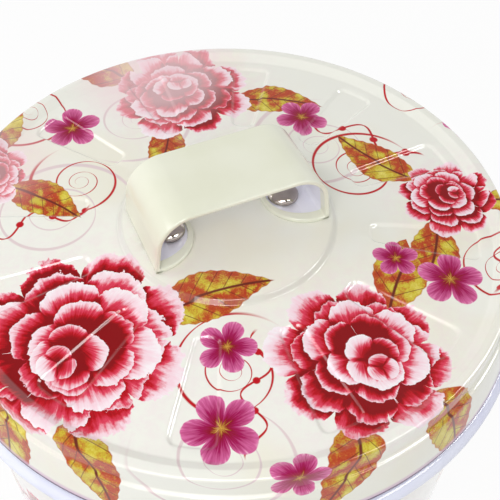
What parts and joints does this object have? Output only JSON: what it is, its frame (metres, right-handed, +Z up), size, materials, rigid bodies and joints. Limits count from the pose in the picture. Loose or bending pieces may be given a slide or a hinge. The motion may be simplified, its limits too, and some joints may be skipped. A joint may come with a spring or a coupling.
{
  "type": "round tinplate storage box",
  "caption": "Round printed tinplate storage box with a rolled rim and a fluted lift-off lid that carries a riveted strap handle.",
  "frame": {"origin": "centre of the standing ring, on the ground, on the box's axis", "axes": "+Z up along the box's axis, +X along the lid's handle"},
  "size_m": [0.2452, 0.2452, 0.2639],
  "materials": {
    "body_print": "glossy cream lacquer over tinplate, printed all round",
    "lid_print": "glossy cream lacquer with a flower print",
    "handle_lacquer": "plain glossy cream lacquer, cool white on the inside",
    "inner_lacquer": "glossy cool white lacquer",
    "tinplate": "bare bright tinplate",
    "rivet_chrome": "polished"
  },
  "bodies": {
    "box": {"body_wall": "body_print", "body_bottom": "tinplate"},
    "lid": {"lid_shell": "lid_print", "lid_plug_ring": "inner_lacquer", "handle_strap": "handle_lacquer", "rivet_left": "rivet_chrome", "rivet_right": "rivet_chrome"}
  },
  "joints": [
    {"name": "lid_lift", "type": "slide", "parent": "box", "child": "lid", "axis": [0, 0, 1], "range_m": [0, 0.08]}
  ]
}
